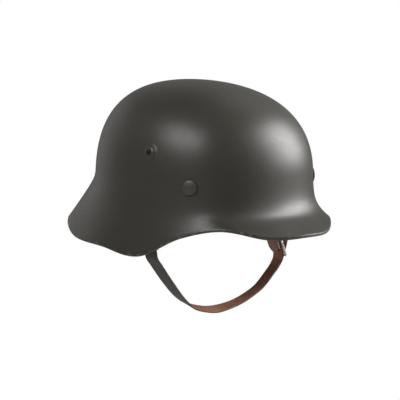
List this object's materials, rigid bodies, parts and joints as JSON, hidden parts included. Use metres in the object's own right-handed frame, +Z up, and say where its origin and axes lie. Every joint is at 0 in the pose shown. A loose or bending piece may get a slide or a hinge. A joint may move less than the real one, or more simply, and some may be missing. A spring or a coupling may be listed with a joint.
{
  "type": "military steel helmet",
  "caption": "Pressed steel helmet with a flared neck guard, short visor, vent holes, liner rivets and a buckled leather chin strap.",
  "frame": {"origin": "inside of the crown's top, where the head carries the helmet", "axes": "+X to the visor, +Y to the wearer's left, +Z up"},
  "size_m": [0.2956, 0.22, 0.2247],
  "materials": {
    "painted_steel": "satin dark grey-green paint",
    "rivet_paint": "satin dark grey-green paint",
    "bare_steel": "dull zinc-grey steel",
    "strap_leather": "worn dark brown leather, blackened outside",
    "buckle_steel": "dull bright steel"
  },
  "bodies": {
    "root": {"shell": "painted_steel", "strap_band": "bare_steel", "rivet_right": "rivet_paint", "rivet_left": "rivet_paint", "rivet_rear": "rivet_paint", "chin_strap": "strap_leather", "buckle_strap": "strap_leather", "buckle": "buckle_steel", "buckle_prong": "buckle_steel"}
  },
  "joints": []
}
